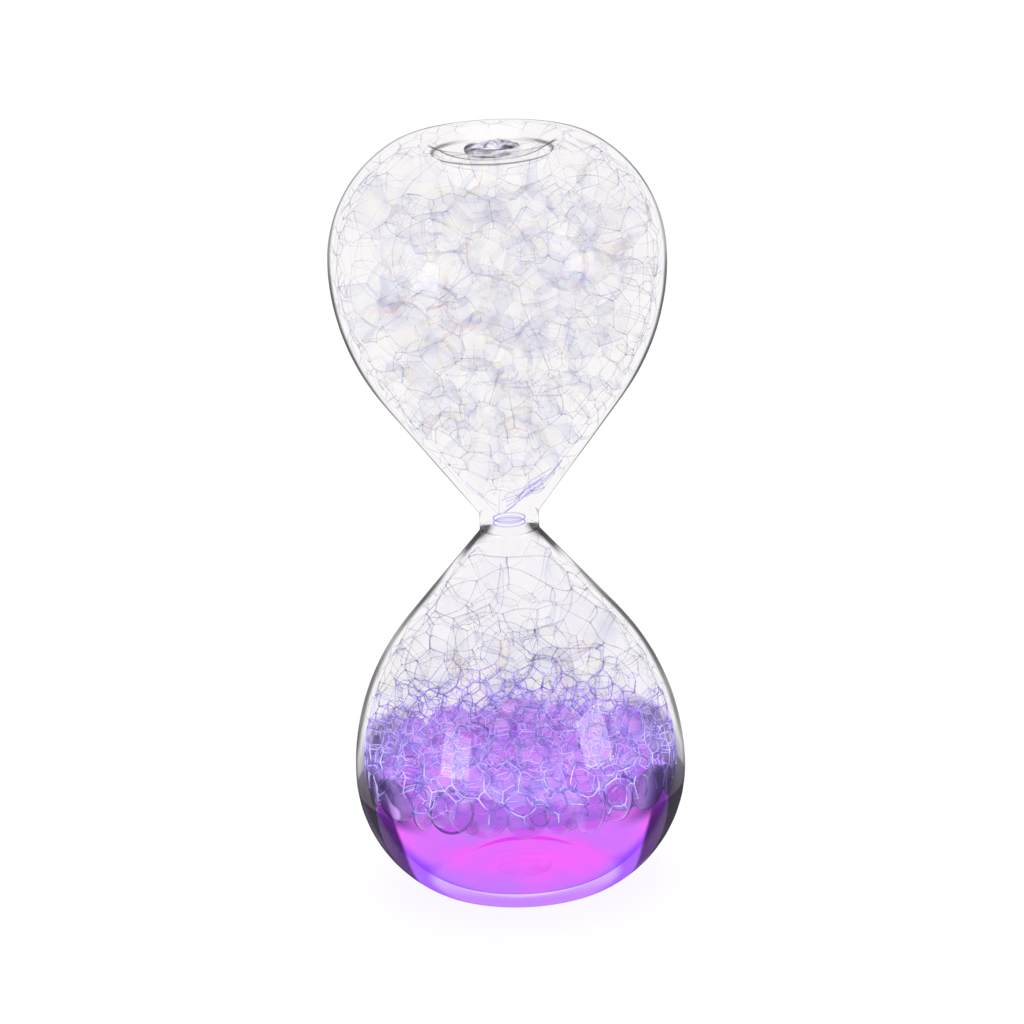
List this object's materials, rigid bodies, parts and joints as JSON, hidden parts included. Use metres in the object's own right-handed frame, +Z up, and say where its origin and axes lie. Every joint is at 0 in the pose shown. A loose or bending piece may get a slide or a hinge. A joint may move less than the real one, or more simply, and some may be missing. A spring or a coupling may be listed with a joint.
{
  "type": "bubble hourglass",
  "caption": "Sealed glass bubble hourglass: two teardrop bulbs joined at a narrow neck, with coloured liquid and foam inside; it stands on either end.",
  "frame": {"origin": "middle of the ground ring that the hourglass stands on, at the bottom centre", "axes": "+Z up along the axis of both bulbs, +X to the right as seen from the front (the -Y side)"},
  "size_m": [0.065, 0.065, 0.15],
  "materials": {
    "glass": "polished",
    "purple_liquid": "gloss",
    "wet_foam": "gloss",
    "dry_foam": "gloss",
    "bubble_skin": "gloss"
  },
  "bodies": {
    "glass": {"upper_bulb": "glass", "lower_bulb": "glass", "neck_weld": "glass", "upper_seal_tip": "glass", "lower_seal_tip": "glass"},
    "liquid_pool": {"liquid": "purple_liquid", "wet_foam": "wet_foam", "surface_bubbles": "bubble_skin", "lower_foam": "dry_foam"},
    "rim_bubbles": {"rim_bubbles": "bubble_skin"},
    "upper_foam": {"upper_foam": "dry_foam", "draining_drop": "purple_liquid"},
    "neck_film": {"neck_film": "bubble_skin", "film_border": "purple_liquid"}
  },
  "joints": [
    {"name": "liquid_swirl", "type": "hinge", "parent": "glass", "child": "liquid_pool", "pos_m": [0, 0, 0.021], "axis": [0, 0, 1], "continuous": true},
    {"name": "rim_bubble_drift", "type": "hinge", "parent": "liquid_pool", "child": "rim_bubbles", "pos_m": [0, 0, 0.021], "axis": [0, 0, 1], "continuous": true},
    {"name": "upper_foam_swirl", "type": "hinge", "parent": "glass", "child": "upper_foam", "pos_m": [0, 0, 0.11], "axis": [0, 0, 1], "continuous": true},
    {"name": "neck_film_slide", "type": "slide", "parent": "glass", "child": "neck_film", "axis": [0, 0, 1], "range_m": [-0.0004, 0.0025]}
  ]
}
